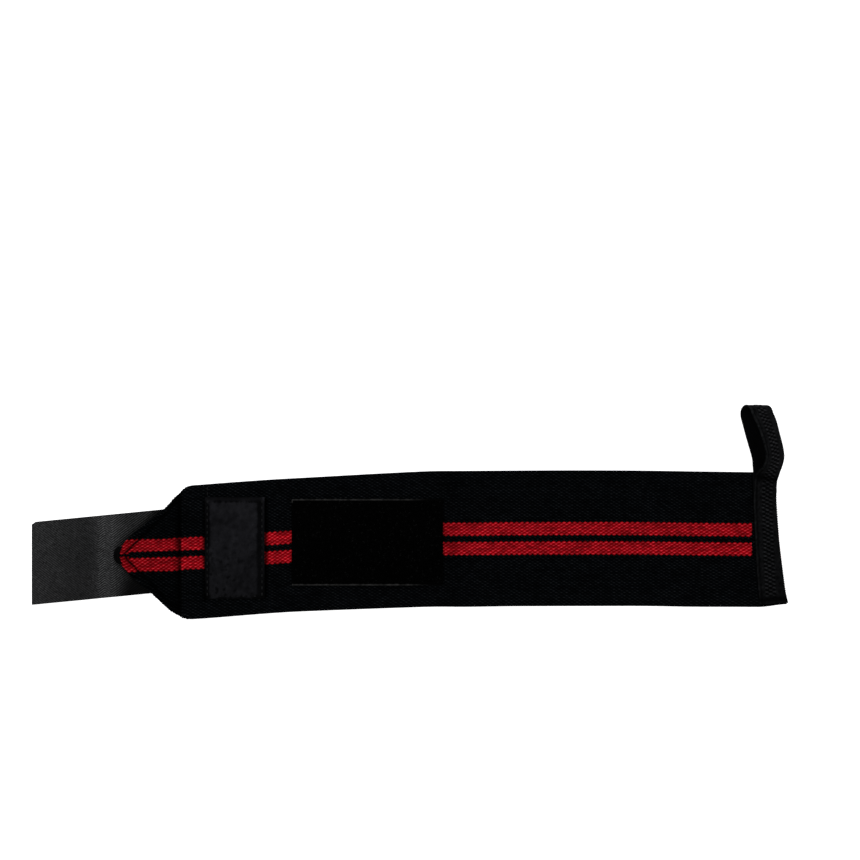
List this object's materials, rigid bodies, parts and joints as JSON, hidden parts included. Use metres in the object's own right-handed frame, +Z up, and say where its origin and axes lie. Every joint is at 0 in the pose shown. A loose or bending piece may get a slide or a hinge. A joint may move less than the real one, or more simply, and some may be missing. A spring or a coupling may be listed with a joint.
{
  "type": "wrist wrap",
  "caption": "Woven elastic wrist wrap lying flat, with a folded point, a hook tab, a plain label, a pile patch and a thumb loop.",
  "frame": {"origin": "on the surface that the wrap lies on, under the middle of its box", "axes": "+X along the band from the folded point to the thumb loop's end, +Y to the side where the thumb loop stands out, +Z up from the outer face"},
  "size_m": [0.453, 0.1284, 0.0184],
  "materials": {
    "band": "matte woven elastic, black with two red stripes",
    "hook_tape": "satin twill backing with moulded hooks, dark grey",
    "label": "brushed label cloth, dark grey, blank",
    "pile": "fuzzy loop pile, black",
    "loop_tape": "ribbed elastic tape, black",
    "stripe": "matte red yarn",
    "thread": "polyester sewing thread, black"
  },
  "bodies": {
    "root": {"elastic_band": "band", "hook_tab": "hook_tape", "label": "label", "pile_patch": "pile", "thumb_loop": "loop_tape"}
  },
  "joints": []
}
